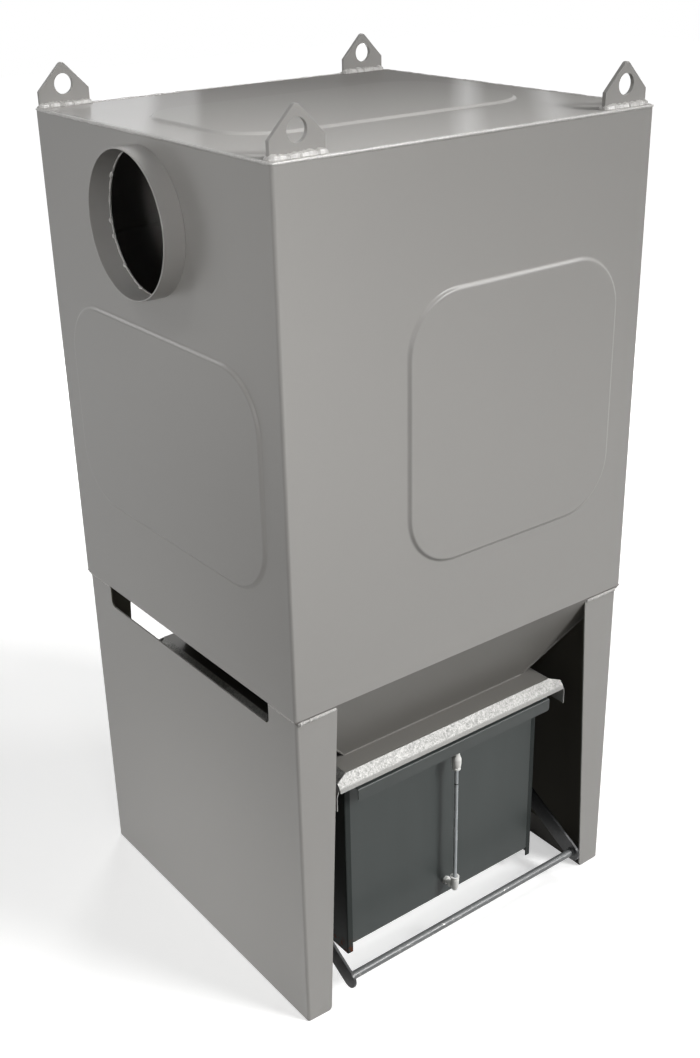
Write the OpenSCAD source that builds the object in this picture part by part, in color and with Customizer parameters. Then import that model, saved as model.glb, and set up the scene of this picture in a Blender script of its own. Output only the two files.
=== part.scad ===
// Dust pre-separator: a welded sheet-steel box with a hopper, on a stand of two folded
// panels, over a dust bin that a hand lever lifts against the seal under the hopper.
// Millimetres. The floor is Z = 0, the bin's front faces -Y and the inlet is on -X.

/* [Body] */
// Outside width of the body, left to right
body_w = 800; // [760:1:1000]
// Outside depth of the body, front to back
body_d = 750; // [740:1:1000]
// Height of the body from the hopper's upper edge to the roof's upper face
body_h = 930; // [900:1:1400]
// Thickness of the sheet of the body and the hopper
sheet = 3; // [2:0.5:5]
// Outside radius of the folded upright edges
bend_r = 6; // [5.5:0.5:12]

/* [Pressed panels] */
// How far a pressed panel stands out of its sheet
press_rise = 5; // [3:0.5:8]
// Width of a pressed panel's sloping border
press_border = 4; // [3:0.5:20]
// Corner radius of a pressed panel
press_r = 105; // [60:1:150]
// Height of the wall panels' lower edge above the body's lower edge
press_foot = 200; // [120:1:240]
// Length of a side wall's panel, front to back
side_press_l = 630; // [400:1:660]
// Height of a side wall's panel
side_press_h = 398; // [320:1:420]
// Width of the front and back walls' panel
front_press_w = 486; // [400:1:560]
// Height of the front and back walls' panel
front_press_h = 492; // [400:1:600]
// Distance of the front panel's middle to the right of the wall's middle
front_press_shift = 91; // [0:1:100]
// Width of the roof's panel, left to right
roof_press_w = 640; // [400:1:680]
// Depth of the roof's panel, front to back
roof_press_d = 360; // [320:1:560]

/* [Spigots] */
// Outside diameter of the duct spigots
spigot_d = 250; // [160:1:260]
// Length of a spigot outside the wall
spigot_l = 40; // [25:1:120]
// Wall thickness of a spigot
spigot_wall = 3; // [2:0.5:6]
// Distance of a spigot's axis below the roof's upper face
spigot_drop = 144; // [140:1:170]

/* [Lifting lugs] */
// Width of a lug at its foot
lug_w = 100; // [70:1:130]
// Height of a lug
lug_h = 75; // [70:1:120]
// Height of a lug's upright shoulders
lug_shoulder = 28; // [10:1:40]
// Radius of a lug's tip
lug_tip_r = 8; // [4:0.5:14]
// Thickness of a lug
lug_t = 8; // [5:0.5:15]
// Diameter of a lug's hole
lug_hole_d = 36; // [20:1:38]
// Height of a lug's hole above the roof
lug_hole_z = 38; // [32:1:42]
// Distance of a lug's end from the side of the body
lug_edge = 7; // [4:1:40]
// Distance of the front lugs behind the front of the body
lug_setback = 15; // [0:1:40]

/* [Stand] */
// Height of the stand up to the body's lower edge
stand_h = 680; // [660:1:900]
// How far the stand's panels are set in from the body's faces
stand_inset = 5; // [3:0.5:12]
// Thickness of the stand's sheet
stand_sheet = 3; // [2:0.5:5]
// Width of a panel's front and back flange at its top
flange_top_w = 88; // [60:1:89]
// Width of a panel's front, back and foot flange at the floor
flange_foot_w = 55; // [40:1:89]
// Radius of a flange's corner at the floor
flange_foot_r = 8; // [4:1:30]
// Length of the slot at the top of a panel
slot_l = 570; // [300:1:640]
// Height of the slot at the top of a panel
slot_h = 50; // [30:1:120]
// Radius of the slot's lower corners
slot_r = 12; // [4:1:20]

/* [Hopper] */
// Height of the hopper
hopper_h = 190; // [150:1:240]
// Outside width of the hopper's outlet, left to right
outlet_w = 456; // [400:1:470]
// Outside depth of the hopper's outlet, front to back
outlet_d = 556; // [480:1:570]
// Width of the outlet flange at the sides
ledge_side = 32; // [26:1:40]
// Width of the outlet flange at the front and back
ledge_front = 46; // [32:1:50]
// Height of the rubber seal under the outlet flange
seal_h = 30; // [26:1:40]
// Width of the seal
seal_w = 28; // [20:1:30]

/* [Guide frame] */
// Thickness of the guide frame's galvanised sheet
guide_sheet = 2; // [1:0.5:3]
// How far the front and back guides flare out
guide_front_out = 19; // [10:1:24]
// How far the front and back guides reach down
guide_front_drop = 25; // [18:1:26]
// Width by which the front and back guides pass the flange at each end
guide_front_lap = 26; // [10:1:28]
// Length of the chamfer on the front and back guides' upper corners
guide_chamfer = 9; // [4:1:16]
// How far the side guides flare out
guide_side_out = 33; // [31:1:34]
// How far the side guides' flare reaches down
guide_side_drop = 26; // [20:1:40]
// Height of the side guides' upright skirt
guide_skirt = 37; // [20:1:60]

/* [Dust bin] */
// How far the bin's side walls lie outside the hopper's outlet
bin_margin_side = 22; // [18:1:24]
// How far the bin's front and back walls lie outside the hopper's outlet
bin_margin_front = 27; // [18:1:30]
// Height of the bin's front wall with its rim
bin_h = 396; // [360:1:405]
// How far the bin's side walls reach below the front wall, as runners
bin_runner = 21; // [10:1:22]
// Thickness of the bin's sheet
bin_sheet = 2; // [1.5:0.5:3]
// Width of the side walls' returns on the front and back of the bin
bin_return = 13; // [8:1:30]
// How far the front and back rims stand out
rim_front_out = 40; // [30:1:44]
// How far the side rims stand out
rim_side_out = 35; // [20:1:36]
// Height of the rims' lips
rim_lip = 27; // [15:1:40]
// Radius of the lower corners of the front and back rims' lips
rim_corner_r = 6; // [2:0.5:12]
// Distance of the front rim's ends from the outside of the side walls
rim_end = 4; // [3:1:20]
// Length of the lifting rails on the bin's sides
rail_l = 320; // [200:1:500]
// Width of the lifting rails
rail_w = 33; // [28:1:36]
// Height of the lifting rails' upright leg
rail_h = 35; // [20:1:50]
// Thickness of the lifting rails
rail_t = 3; // [2:0.5:5]

/* [Vent line] */
// Distance of the vent tube to the right of the bin's middle
vent_x = 6; // [-60:1:60]
// Distance of the vent tube in front of the bin's front wall
vent_out = 28; // [24:1:29]
// Outside diameter of the vent tube
vent_d = 8; // [6:0.5:12]
// Diameter of the union's and the elbow's collars
vent_collar_d = 19; // [15:0.5:22]
// Length of the union below the rim
vent_union_l = 70; // [60:1:130]
// Height of the elbow's port above the bin's lower edge
vent_port_z = 34; // [30:1:120]
// Height of the elbow's collar above its port
vent_elbow_h = 26; // [18:1:40]

/* [Lifting lever] */
// Height of the lever's pivot above the floor
pivot_z = 275; // [260:1:290]
// Height of the handle bar's middle above the floor
bar_z = 64; // [50:1:80]
// Distance of the handle bar's middle in front of the bin's rim
bar_out = 34; // [30:1:36]
// Width of the lever's arms
arm_w = 40; // [30:1:44]
// Thickness of the lever's arms
arm_t = 6; // [4:0.5:6]
// Diameter of the handle bar
bar_d = 16; // [12:0.5:25]
// Diameter of the pivot's journal
journal_d = 16; // [10:0.5:20]
// Diameter of the pivot's boss on the stand
boss_d = 40; // [30:1:60]
// Distance from the pivot to the lifting stud behind it
stud_reach = 40; // [36:1:44]
// Diameter of the lifting stud
stud_d = 32; // [20:1:36]
// Length of the lifting stud
stud_l = 25; // [18:1:28]

/* [Hidden] */
$fn = 64;

// Colours
paint_grey = [0.60, 0.59, 0.58];
zinc = [0.72, 0.73, 0.72];
bin_grey = [0.30, 0.33, 0.33];
lever_black = [0.14, 0.14, 0.15];
rubber_black = [0.08, 0.08, 0.08];
bright_steel = [0.65, 0.66, 0.68];
fitting_white = [0.90, 0.90, 0.88];
tube_grey = [0.62, 0.65, 0.67];

// Clearances: a seat that only touches, a turning journal, a part that moves past another
seat_gap = 0.3;
journal_gap = 0.05;
arm_gap = 7;
// Overshoot of the cutting shapes
cut = 1;

// Heights
roof_z = stand_h + body_h;
wall_h = body_h - sheet;
spigot_z = roof_z - spigot_drop;
flange_z = stand_h - hopper_h;
seal_z = flange_z - sheet - seal_h;
bin_top = seal_z - seat_gap;
bin_foot = bin_top - bin_h;
bin_wall_top = bin_top - bin_sheet;

// Half widths and half depths
body_x = body_w / 2;
body_y = body_d / 2;
outlet_x = outlet_w / 2;
outlet_y = outlet_d / 2;
flange_x = outlet_x + ledge_side;
flange_y = outlet_y + ledge_front;
stand_x = body_x - stand_inset;
stand_y = body_y - stand_inset;
bin_x = outlet_x + bin_margin_side;
bin_y = outlet_y + bin_margin_front;
guide_x = flange_x + guide_side_out;

// Sheet thickness of the sloping hopper walls, measured level
hopper_run_x = body_x - outlet_x;
hopper_run_y = body_y - outlet_y;
hopper_level_x = sheet * sqrt(pow(hopper_run_x, 2) + pow(hopper_h, 2)) / hopper_h;
hopper_level_y = sheet * sqrt(pow(hopper_run_y, 2) + pow(hopper_h, 2)) / hopper_h;

// Lever: the arms run outside the guide frame, the stud lies behind the pivot
arm_x = guide_x + arm_gap;
bar_y = -bin_y - rim_front_out - bar_out;
lever_reach = sqrt(pow(bar_y, 2) + pow(pivot_z - bar_z, 2));
lever_angle = atan2(pivot_z - bar_z, -bar_y);
stud_y = stud_reach * cos(lever_angle);
stud_z = pivot_z + stud_reach * sin(lever_angle);
rail_z = stud_z + stud_d / 2 + seat_gap;

// Vent line
vent_y = -bin_y - vent_out;
vent_port = bin_foot + vent_port_z;
vent_elbow_top = vent_port + vent_elbow_h;
vent_union_foot = bin_wall_top - vent_union_l;

// Rectangle with round corners
module round_rect(w, d, r) {
    square([w - 2 * r, d], center = true);
    square([w, d - 2 * r], center = true);
    for (sx = [-1, 1], sy = [-1, 1])
        translate([sx * (w / 2 - r), sy * (d / 2 - r)]) circle(r);
}

// Extrudes a profile drawn in X and Z along Y, symmetric about Y = 0
module along_y(length) {
    rotate([90, 0, 0]) linear_extrude(length, center = true) children();
}

// Extrudes a profile drawn in Y and Z along X, symmetric about X = 0
module along_x(length) {
    rotate([90, 0, 90]) linear_extrude(length, center = true) children();
}

// The solid form of a pressed panel, rising along Z from the sheet's inner face
module press_form(w, h) {
    foot_r = press_r + press_border * sheet / press_rise;
    tip_r = press_r - press_border;
    hull() {
        for (sx = [-1, 1], sy = [-1, 1])
            translate([sx * (w / 2 - press_r), sy * (h / 2 - press_r), 0])
                cylinder(h = sheet + press_rise, r1 = foot_r, r2 = tip_r, $fn = 48);
    }
}

// A broad wall at the front: flat sheet, folded upright edges and a pressed panel
module broad_wall() {
    module at_panel() {
        panel_z = stand_h + press_foot + front_press_h / 2;
        translate([front_press_shift, -body_y + sheet, panel_z]) rotate([90, 0, 0]) children();
    }
    color(paint_grey) difference() {
        union() {
            translate([0, 0, stand_h]) linear_extrude(wall_h) intersection() {
                difference() {
                    round_rect(body_w, body_d, bend_r);
                    round_rect(body_w - 2 * sheet, body_d - 2 * sheet, bend_r - sheet);
                }
                translate([-body_x, -body_y]) square([body_w, bend_r]);
            }
            at_panel() press_form(front_press_w, front_press_h);
        }
        at_panel() translate([0, 0, -sheet]) press_form(front_press_w, front_press_h);
    }
}

// A side wall at the left: flat sheet with a pressed panel and the spigot's hole
module side_wall() {
    wall_l = body_d - 2 * bend_r;
    module at_panel() {
        panel_z = stand_h + press_foot + side_press_h / 2;
        translate([-body_x + sheet, 0, panel_z]) rotate([90, 0, -90]) children();
    }
    color(paint_grey) difference() {
        union() {
            translate([-body_x, -wall_l / 2, stand_h]) cube([sheet, wall_l, wall_h]);
            at_panel() press_form(side_press_l, side_press_h);
        }
        at_panel() translate([0, 0, -sheet]) press_form(side_press_l, side_press_h);
        translate([-body_x - cut, 0, spigot_z]) rotate([0, 90, 0])
            cylinder(h = sheet + 2 * cut, d = spigot_d - 2 * spigot_wall);
    }
}

module front_wall() {
    broad_wall();
}

module back_wall() {
    rotate([0, 0, 180]) broad_wall();
}

module left_wall() {
    side_wall();
}

module right_wall() {
    rotate([0, 0, 180]) side_wall();
}

// Flat roof on the walls' upper edges, with a pressed panel
module roof() {
    color(paint_grey) translate([0, 0, roof_z - sheet]) difference() {
        union() {
            linear_extrude(sheet) round_rect(body_w, body_d, bend_r);
            press_form(roof_press_w, roof_press_d);
        }
        translate([0, 0, -sheet]) press_form(roof_press_w, roof_press_d);
    }
}

// Lifting lug: a plate with upright shoulders, a round tip and a hole, standing on the roof
module lug(x, y) {
    slope = atan2(lug_h - lug_tip_r - lug_shoulder, lug_w / 2);
    tip_z = lug_h - lug_tip_r;
    lean = 90 - slope;
    color(paint_grey) translate([x, y, roof_z]) difference() {
        along_y(lug_t) {
            polygon([
                [-lug_w / 2, 0], [lug_w / 2, 0], [lug_w / 2, lug_shoulder],
                [lug_tip_r * cos(lean), tip_z + lug_tip_r * sin(lean)],
                [-lug_tip_r * cos(lean), tip_z + lug_tip_r * sin(lean)],
                [-lug_w / 2, lug_shoulder]
            ]);
            translate([0, tip_z]) circle(lug_tip_r);
        }
        translate([0, 0, lug_hole_z]) rotate([90, 0, 0])
            cylinder(h = lug_t + 2 * cut, d = lug_hole_d, center = true);
    }
}

lug_x = body_x - lug_edge - lug_w / 2;
lug_front_y = -body_y + lug_setback + lug_t / 2;
lug_back_y = body_y - lug_t / 2;

module lug_front_left() {
    lug(-lug_x, lug_front_y);
}

module lug_front_right() {
    lug(lug_x, lug_front_y);
}

module lug_back_left() {
    lug(-lug_x, lug_back_y);
}

module lug_back_right() {
    lug(lug_x, lug_back_y);
}

// Round duct spigot, butted on a side wall around its hole
module spigot(side) {
    color(paint_grey) translate([side * (body_x + spigot_l / 2), 0, spigot_z]) rotate([0, 90, 0])
        difference() {
            cylinder(h = spigot_l, d = spigot_d, center = true);
            cylinder(h = spigot_l + 2 * cut, d = spigot_d - 2 * spigot_wall, center = true);
        }
}

module inlet_spigot() {
    spigot(-1);
}

module outlet_spigot() {
    spigot(1);
}

// The hopper's outline seen along Y and along X, less a level amount on each side
module hopper_outline(top, foot, less) {
    polygon([
        [-top + less, stand_h], [top - less, stand_h],
        [foot - less, flange_z], [-foot + less, flange_z]
    ]);
}

// The hopper's front wall, which closes the whole width
module hopper_broad() {
    color(paint_grey) intersection() {
        along_y(body_d) hopper_outline(body_x, outlet_x, 0);
        along_x(body_w) polygon([
            [-body_y, stand_h], [-body_y + hopper_level_y, stand_h],
            [-outlet_y + hopper_level_y, flange_z], [-outlet_y, flange_z]
        ]);
    }
}

// The hopper's left wall, fitted between the front and back walls
module hopper_side() {
    color(paint_grey) intersection() {
        along_x(body_w) hopper_outline(body_y, outlet_y, hopper_level_y);
        along_y(body_d) polygon([
            [-body_x, stand_h], [-body_x + hopper_level_x, stand_h],
            [-outlet_x + hopper_level_x, flange_z], [-outlet_x, flange_z]
        ]);
    }
}

module hopper_front() {
    hopper_broad();
}

module hopper_back() {
    rotate([0, 0, 180]) hopper_broad();
}

module hopper_left() {
    hopper_side();
}

module hopper_right() {
    rotate([0, 0, 180]) hopper_side();
}

// Flat ring under the hopper's foot
module hopper_flange() {
    color(paint_grey) translate([0, 0, flange_z - sheet]) linear_extrude(sheet) difference() {
        square([2 * flange_x, 2 * flange_y], center = true);
        square(2 * [outlet_x - hopper_level_x, outlet_y - hopper_level_y], center = true);
    }
}

// Square rubber seal under the flange, which the bin's rim meets
module seal() {
    color(rubber_black) translate([0, 0, seal_z]) linear_extrude(seal_h) difference() {
        square([2 * flange_x, 2 * flange_y], center = true);
        square([2 * (flange_x - seal_w), 2 * (flange_y - seal_w)], center = true);
    }
}

// Front guide: a flared strip on the flange's edge, with chamfered upper corners
module guide_broad() {
    half_l = flange_x + guide_front_lap;
    foot_z = flange_z - guide_front_drop;
    color(zinc) intersection() {
        along_x(2 * half_l) polygon([
            [-flange_y, flange_z], [-flange_y - guide_sheet, flange_z],
            [-flange_y - guide_front_out - guide_sheet, foot_z],
            [-flange_y - guide_front_out, foot_z]
        ]);
        along_y(2 * body_d) polygon([
            [-flange_x, flange_z], [flange_x, flange_z],
            [half_l, flange_z - guide_chamfer], [half_l, foot_z],
            [-half_l, foot_z], [-half_l, flange_z - guide_chamfer]
        ]);
    }
}

// Left guide: flared, then upright, fitted behind the front and back guides
module guide_side() {
    knee_z = flange_z - guide_side_drop;
    foot_z = knee_z - guide_skirt;
    front_foot = flange_z - guide_front_drop;
    front_y = flange_y + guide_front_out - guide_sheet;
    color(zinc) intersection() {
        along_y(2 * body_d) polygon([
            [-flange_x, flange_z], [-guide_x, knee_z], [-guide_x, foot_z],
            [-guide_x + guide_sheet, foot_z], [-guide_x + guide_sheet, knee_z],
            [-flange_x, flange_z - guide_sheet * guide_side_drop / guide_side_out]
        ]);
        along_x(body_w) polygon([
            [-flange_y, flange_z], [flange_y, flange_z],
            [front_y, front_foot], [front_y, foot_z],
            [-front_y, foot_z], [-front_y, front_foot]
        ]);
    }
}

module guide_front() {
    guide_broad();
}

module guide_back() {
    rotate([0, 0, 180]) guide_broad();
}

module guide_left() {
    guide_side();
}

module guide_right() {
    rotate([0, 0, 180]) guide_side();
}

// Channel section open to the left, with round folds on its right side
module channel_plan(x_open, x_fold, y, r) {
    translate([x_open, -y]) square([x_fold - r - x_open, 2 * y]);
    translate([x_open, -y + r]) square([x_fold - x_open, 2 * (y - r)]);
    for (s = [-1, 1])
        translate([x_fold - r, s * (y - r)]) circle(r);
}

// Right panel of the stand: a folded sheet with tapering flanges, a flange at its foot, a slot
// at its top and its upper edge cut to the slope of the hopper, on which it is welded
module stand_panel() {
    top_x = stand_x - flange_top_w;
    foot_x = stand_x - flange_foot_w;
    color(paint_grey) difference() {
        union() {
            linear_extrude(stand_h) difference() {
                channel_plan(top_x, stand_x, stand_y, bend_r);
                channel_plan(top_x - cut, stand_x - stand_sheet, stand_y - stand_sheet, bend_r - stand_sheet);
            }
            linear_extrude(stand_sheet) channel_plan(foot_x, stand_x, stand_y, bend_r);
        }
        along_y(2 * body_d) {
            polygon([
                [top_x - cut, -cut], [foot_x, -cut], [foot_x, 0],
                [top_x, stand_h], [top_x - cut, stand_h]
            ]);
            translate([foot_x - flange_foot_r, 0]) difference() {
                translate([0, -cut]) square([2 * flange_foot_r, flange_foot_r + cut]);
                translate([2 * flange_foot_r, flange_foot_r]) circle(flange_foot_r);
            }
        }
        intersection() {
            along_x(2 * body_w) translate([0, stand_h]) round_rect(slot_l, 2 * slot_h, slot_r);
            translate([stand_x - stand_sheet - cut, -body_y, 0]) cube([stand_sheet + 2 * cut, body_d, 2 * stand_h]);
        }
        intersection() {
            along_y(body_d) {
                hopper_outline(body_x, outlet_x, 0);
                translate([-body_x, stand_h - cut / 2]) square([body_w, cut]);
            }
            along_x(body_w) {
                hopper_outline(body_y, outlet_y, 0);
                translate([-body_y, stand_h - cut / 2]) square([body_d, cut]);
            }
        }
    }
}

module left_stand_panel() {
    mirror([1, 0, 0]) stand_panel();
}

module right_stand_panel() {
    stand_panel();
}

// Front wall of the bin, between the side walls' returns
module bin_broad() {
    half_w = bin_x - bin_return;
    color(bin_grey) translate([-half_w, -bin_y, bin_foot])
        cube([2 * half_w, bin_sheet, bin_wall_top - bin_foot]);
}

// Left side wall of the bin, returned round the corners and running on down as a runner
module bin_side() {
    color(bin_grey) translate([0, 0, bin_foot - bin_runner])
        linear_extrude(bin_wall_top - bin_foot + bin_runner) difference() {
            translate([-bin_x, -bin_y]) square([bin_return, 2 * bin_y]);
            translate([-bin_x + bin_sheet, -bin_y + bin_sheet])
                square([bin_return, 2 * (bin_y - bin_sheet)]);
        }
}

module bin_front() {
    bin_broad();
}

module bin_back() {
    rotate([0, 0, 180]) bin_broad();
}

module bin_left() {
    bin_side();
}

module bin_right() {
    rotate([0, 0, 180]) bin_side();
}

module bin_floor() {
    color(bin_grey) translate([-bin_x + bin_sheet, -bin_y + bin_sheet, bin_foot])
        cube([2 * (bin_x - bin_sheet), 2 * (bin_y - bin_sheet), bin_sheet]);
}

// Rim section, drawn from a wall's inner face outwards along -X: a shelf and a lip
module rim_section(out) {
    translate([-out, -bin_sheet]) square([out + bin_sheet, bin_sheet]);
    translate([-out, -rim_lip]) square([bin_sheet, rim_lip]);
}

// Front rim: the section along the wall, its lip's lower corners rounded
module rim_broad() {
    rim_w = 2 * (bin_x - rim_end);
    rim_d = 2 * (bin_y + rim_front_out);
    color(bin_grey) intersection() {
        along_x(rim_w + cut) translate([-bin_y, bin_top]) rim_section(rim_front_out);
        along_y(rim_d + cut) translate([0, bin_top]) round_rect(rim_w, 2 * rim_lip, rim_corner_r);
    }
}

module rim_side() {
    color(bin_grey) along_y(2 * bin_y) translate([-bin_x, bin_top]) rim_section(rim_side_out);
}

module bin_rim_front() {
    rim_broad();
}

module bin_rim_back() {
    rotate([0, 0, 180]) rim_broad();
}

module bin_rim_left() {
    rim_side();
}

module bin_rim_right() {
    rotate([0, 0, 180]) rim_side();
}

// Lifting rail on the left of the bin: an angle whose flat leg rests on the lever's stud
module bin_rail() {
    color(bin_grey) along_y(rail_l) translate([-bin_x, rail_z]) {
        translate([-rail_w, 0]) square([rail_w, rail_t]);
        translate([-rail_t, 0]) square([rail_t, rail_h]);
    }
}

module bin_rail_left() {
    bin_rail();
}

module bin_rail_right() {
    rotate([0, 0, 180]) bin_rail();
}

// Vent union hanging from the rim's shelf: a nut, a body and a collar that takes the tube
module vent_union() {
    nut_l = vent_union_l / 5;
    collar_l = vent_union_l / 3;
    shoulder_l = vent_union_l / 10;
    nut_d = vent_collar_d - 1;
    body_dia = vent_collar_d - 7;
    color(fitting_white) translate([vent_x, vent_y, 0]) {
        translate([0, 0, bin_wall_top - nut_l]) cylinder(h = nut_l, d = nut_d, $fn = 6);
        translate([0, 0, vent_union_foot]) cylinder(h = vent_union_l, d = body_dia);
        translate([0, 0, vent_union_foot]) cylinder(h = collar_l, d = vent_collar_d);
        translate([0, 0, vent_union_foot + collar_l])
            cylinder(h = shoulder_l, d1 = vent_collar_d, d2 = body_dia);
    }
}

module vent_tube() {
    color(tube_grey) translate([vent_x, vent_y, vent_elbow_top])
        cylinder(h = vent_union_foot - vent_elbow_top, d = vent_d);
}

// Vent elbow: a collar that takes the tube, a round body and a stub into the bin's wall
module vent_elbow() {
    collar_l = vent_elbow_h / 2;
    body_dia = vent_collar_d - 4;
    nut_l = vent_out / 4;
    color(fitting_white) translate([vent_x, vent_y, vent_port]) {
        translate([0, 0, vent_elbow_h - collar_l]) cylinder(h = collar_l, d = vent_collar_d);
        cylinder(h = vent_elbow_h, d = body_dia);
        sphere(d = body_dia);
        rotate([-90, 0, 0]) cylinder(h = vent_out, d = body_dia);
        translate([0, vent_out - nut_l, 0]) rotate([-90, 0, 0])
            cylinder(h = nut_l, d = vent_collar_d, $fn = 6);
    }
}

// Lever arm on the right: a flat bar with round ends, bored for its pivot
module lever_arm() {
    color(lever_black) translate([arm_x + arm_t / 2, 0, pivot_z]) rotate([lever_angle, 0, 0])
        difference() {
            along_x(arm_t) {
                translate([-lever_reach, -arm_w / 2]) square([lever_reach + stud_reach, arm_w]);
                for (y = [-lever_reach, stud_reach])
                    translate([y, 0]) circle(d = arm_w);
            }
            rotate([0, 90, 0])
                cylinder(h = arm_t + 2 * cut, d = journal_d + 2 * journal_gap, center = true);
        }
}

module lever_arm_left() {
    mirror([1, 0, 0]) lever_arm();
}

module lever_arm_right() {
    lever_arm();
}

module handle_bar() {
    color(lever_black) translate([0, bar_y, bar_z]) rotate([0, 90, 0])
        cylinder(h = 2 * arm_x, d = bar_d, center = true);
}

// Lifting stud on the right arm's inner face, under the bin's rail
module lift_stud() {
    color(bright_steel) translate([arm_x - stud_l, stud_y, stud_z]) rotate([0, 90, 0])
        cylinder(h = stud_l, d = stud_d);
}

module lift_stud_left() {
    mirror([1, 0, 0]) lift_stud();
}

module lift_stud_right() {
    lift_stud();
}

// Pivot on the right: a boss on the stand's panel, a journal through the arm and a head
module pivot() {
    boss_end = arm_x + arm_t + seat_gap;
    head_end = arm_x - seat_gap;
    head_l = arm_gap - 2;
    color(bright_steel) translate([0, 0, pivot_z]) rotate([0, 90, 0]) {
        translate([0, 0, boss_end])
            cylinder(h = stand_x - stand_sheet - boss_end, d = boss_d);
        translate([0, 0, head_end - head_l]) cylinder(h = boss_end - head_end + 2 * head_l, d = journal_d);
        translate([0, 0, head_end - head_l]) cylinder(h = head_l, d = journal_d + 10);
    }
}

module pivot_left() {
    mirror([1, 0, 0]) pivot();
}

module pivot_right() {
    pivot();
}

front_wall();
back_wall();
left_wall();
right_wall();
roof();
lug_front_left();
lug_front_right();
lug_back_left();
lug_back_right();
inlet_spigot();
outlet_spigot();
hopper_front();
hopper_back();
hopper_left();
hopper_right();
hopper_flange();
seal();
guide_front();
guide_back();
guide_left();
guide_right();
left_stand_panel();
right_stand_panel();
bin_front();
bin_back();
bin_left();
bin_right();
bin_floor();
bin_rim_front();
bin_rim_back();
bin_rim_left();
bin_rim_right();
bin_rail_left();
bin_rail_right();
vent_union();
vent_tube();
vent_elbow();
lever_arm_left();
lever_arm_right();
handle_bar();
lift_stud_left();
lift_stud_right();
pivot_left();
pivot_right();
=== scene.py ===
import math
import random

import bmesh
import bpy
from mathutils import Matrix, Vector


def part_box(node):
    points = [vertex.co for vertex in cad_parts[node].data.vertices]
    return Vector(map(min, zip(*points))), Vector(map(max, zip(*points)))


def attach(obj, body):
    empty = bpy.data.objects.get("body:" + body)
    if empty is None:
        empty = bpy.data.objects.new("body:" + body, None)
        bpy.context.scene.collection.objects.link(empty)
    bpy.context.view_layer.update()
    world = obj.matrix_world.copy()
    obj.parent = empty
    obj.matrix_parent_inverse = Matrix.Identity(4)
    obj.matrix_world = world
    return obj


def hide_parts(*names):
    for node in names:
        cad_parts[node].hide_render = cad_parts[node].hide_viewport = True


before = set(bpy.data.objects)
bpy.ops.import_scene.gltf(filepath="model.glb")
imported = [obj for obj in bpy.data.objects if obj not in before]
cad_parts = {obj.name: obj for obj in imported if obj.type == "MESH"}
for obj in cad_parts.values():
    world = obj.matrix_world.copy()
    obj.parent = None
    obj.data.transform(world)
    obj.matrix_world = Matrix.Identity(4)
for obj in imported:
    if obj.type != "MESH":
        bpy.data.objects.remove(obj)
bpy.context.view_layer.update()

# The camera stands where the photograph was taken: off the front left corner and above the roof,
# with the long side of its picture upright.
lens = bpy.data.cameras.new("photo_view")
lens.sensor_fit = "VERTICAL"
lens.sensor_height = 36.0
lens.lens = 46.44
camera = bpy.data.objects.new("photo_view", lens)
camera.location = (-1.4937, -1.9947, 1.9567)
camera.rotation_euler = [math.radians(angle) for angle in (64.869, 1.114, -37.476)]
bpy.context.scene.collection.objects.link(camera)
bpy.context.scene.camera = camera
bpy.context.scene.view_settings.view_transform = "Standard"


# The studio: a pale matt floor that keeps the shadow, a white surround, and soft boxes round the
# object. Most of them stand high, so that the space under the hopper stays dark.
class Wire:
    """A socket in a finish's node tree. Sums and products of wires add Math nodes."""

    def __init__(self, tree, socket=None):
        self.tree = tree
        self.socket = socket

    def add(self, kind, settings, sockets, out=0):
        """Adds a node of this kind: first its settings, then its sockets' values or wires."""
        node = self.tree.nodes.new(kind)
        for name, value in settings.items():
            setattr(node, name, value)
        for name, value in sockets.items():
            if isinstance(value, Wire):
                self.tree.links.new(value.socket, node.inputs[name])
            else:
                node.inputs[name].default_value = value
        return Wire(self.tree, node.outputs[out] if node.outputs else None)

    def other(self, out):
        """Another output of the same node."""
        return Wire(self.tree, self.socket.node.outputs[out])

    def maths(self, operation, first, second):
        """A Math node on two values or wires."""
        return self.add("ShaderNodeMath", {"operation": operation}, {0: first, 1: second})

    def __add__(self, value):
        return self.maths("ADD", self, value)

    def __radd__(self, value):
        return self.maths("ADD", value, self)

    def __sub__(self, value):
        return self.maths("SUBTRACT", self, value)

    def __rsub__(self, value):
        return self.maths("SUBTRACT", value, self)

    def __mul__(self, value):
        return self.maths("MULTIPLY", self, value)

    def __rmul__(self, value):
        return self.maths("MULTIPLY", value, self)


def tint(red, green, blue):
    """A colour as it is seen, from 0 to 255, in the linear values that shaders take."""
    return tuple(((value / 255 + 0.055) / 1.055) ** 2.4 for value in (red, green, blue)) + (1.0,)


def new_finish(name):
    """An empty material and a wire in its tree."""
    finish = bpy.data.materials.new(name)
    finish.use_nodes = True
    finish.node_tree.nodes.clear()
    return finish, Wire(finish.node_tree)


def link_mesh(bm, name, finish):
    """Writes a mesh out as an object at the origin."""
    mesh = bpy.data.meshes.new(name)
    bm.to_mesh(mesh)
    bm.free()
    mesh.materials.append(finish)
    obj = bpy.data.objects.new(name, mesh)
    bpy.context.scene.collection.objects.link(obj)
    return obj


def shown_share(wire):
    """1 for rays that see the studio itself, 0 for those that carry its light to the object."""
    rays = wire.add("ShaderNodeLightPath", {}, {}, "Is Camera Ray")
    return rays + rays.other("Is Glossy Ray") + rays.other("Is Transmission Ray")


pure_white = (1.0, 1.0, 1.0, 1.0)
floor_half = 14.0
floor_near = (0.50, 0.50, 0.50, 1.0)
floor_seen = tint(226, 226, 225)
floor_bounce = tint(84, 82, 78)
glow_start = 1.2
glow_end = 3.5
ambient = 0.10

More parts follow.
